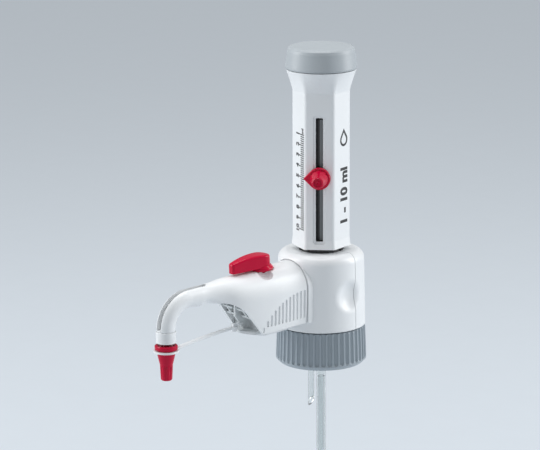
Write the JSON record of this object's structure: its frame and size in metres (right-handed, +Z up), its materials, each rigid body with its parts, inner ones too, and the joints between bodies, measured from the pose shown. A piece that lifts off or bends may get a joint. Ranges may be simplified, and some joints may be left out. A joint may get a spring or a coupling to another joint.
{
  "type": "bottle-top dispenser",
  "caption": "Hand-operated bottle-top liquid dispenser with a lifting pump column, sliding volume stop, curved spout, recirculation lever and capped tip.",
  "frame": {"origin": "on the pump's axis at the lower rim of the bottle collar, where the bottle's thread enters", "axes": "+Z up along the pump column, spout along -X"},
  "size_m": [0.1554, 0.055, 0.3162],
  "materials": {
    "white_shell": "satin moulded",
    "collar_grey": "fine moulded",
    "cap_grey": "fine moulded",
    "dark_plastic": "satin",
    "strip_grey": "satin",
    "insert_grey": "satin",
    "red_plastic": "polished moulded",
    "glass": "polished",
    "clear_tube": "smooth fluoropolymer",
    "ptfe": "waxy",
    "ceramic": "polished",
    "steel": "polished"
  },
  "bodies": {
    "collar": {"bottle_collar": "collar_grey"},
    "block": {"sealing_washer": "ptfe", "valve_block_core": "dark_plastic", "block_front_cover": "white_shell", "block_rear_cover": "white_shell", "air_vent_cap": "cap_grey", "safety_ring": "dark_plastic", "filling_valve_body": "ptfe", "filling_valve_seal": "ptfe", "filling_tube_upper": "clear_tube", "recirculation_tube": "clear_tube", "glass_cylinder": "glass", "cylinder_sleeve": "dark_plastic", "guide_strip": "strip_grey", "spout_cover": "white_shell", "spout_frame": "insert_grey", "discharge_valve_body": "ptfe", "discharge_valve_spring": "steel", "discharge_tube": "clear_tube", "tip_collar": "white_shell", "strap_anchor": "white_shell"},
    "pump": {"pump_housing": "white_shell", "toothed_track": "cap_grey", "rod_holder": "cap_grey", "piston_rod": "steel", "piston": "ptfe", "piston_seal": "ptfe", "top_cap": "cap_grey"},
    "pointer": {"volume_pointer": "red_plastic", "clamp_nut": "dark_plastic"},
    "thumb_screw": {"thumb_screw": "red_plastic"},
    "recirculation_valve": {"recirculation_lever": "red_plastic", "recirculation_plug": "ptfe"},
    "lock": {"locking_slide": "white_shell"},
    "spout_cap": {"tip_cap": "red_plastic", "cap_strap": "white_shell"},
    "inner_tube": {"filling_tube_lower": "clear_tube"},
    "inlet_ball": {"filling_valve_ball": "ceramic"},
    "outlet_ball": {"discharge_valve_ball": "ceramic"}
  },
  "joints": [
    {"name": "block_swivel", "type": "hinge", "parent": "collar", "child": "block", "pos_m": [0, 0, 0], "axis": [0, 0, 1], "continuous": true},
    {"name": "pump_stroke", "type": "slide", "parent": "block", "child": "pump", "axis": [0, 0, 1], "range_m": [0, 0.0644]},
    {"name": "volume_setting", "type": "slide", "parent": "pump", "child": "pointer", "axis": [0, 0, 1], "range_m": [-0.0322, 0.02576]},
    {"name": "thumb_screw_turn", "type": "hinge", "parent": "pointer", "child": "thumb_screw", "pos_m": [-0.01061, -0.01061, 0.1166], "axis": [-0.7071, -0.7071, 0], "range_deg": [0, 270]},
    {"name": "recirculation_turn", "type": "hinge", "parent": "block", "child": "recirculation_valve", "pos_m": [-0.0473, 0, 0.065], "axis": [-0.0558, 0, 0.9984], "range_deg": [0, 90]},
    {"name": "lock_slide", "type": "slide", "parent": "block", "child": "lock", "axis": [0, 0, -1], "range_m": [0, 0.004]},
    {"name": "cap_pull", "type": "slide", "parent": "block", "child": "spout_cap", "axis": [0, 0, -1], "range_m": [0, 0.014], "deforming": ["cap_strap"]},
    {"name": "tube_telescope", "type": "slide", "parent": "block", "child": "inner_tube", "axis": [0, 0, -1], "range_m": [0, 0.095]},
    {"name": "inlet_ball_lift", "type": "slide", "parent": "block", "child": "inlet_ball", "axis": [0, 0, 1], "range_m": [0, 0.0015]},
    {"name": "outlet_ball_lift", "type": "slide", "parent": "block", "child": "outlet_ball", "axis": [-1, 0, 0], "range_m": [0, 0.001], "stiffness_N_per_m": 40, "deforming": ["discharge_valve_spring"]}
  ]
}
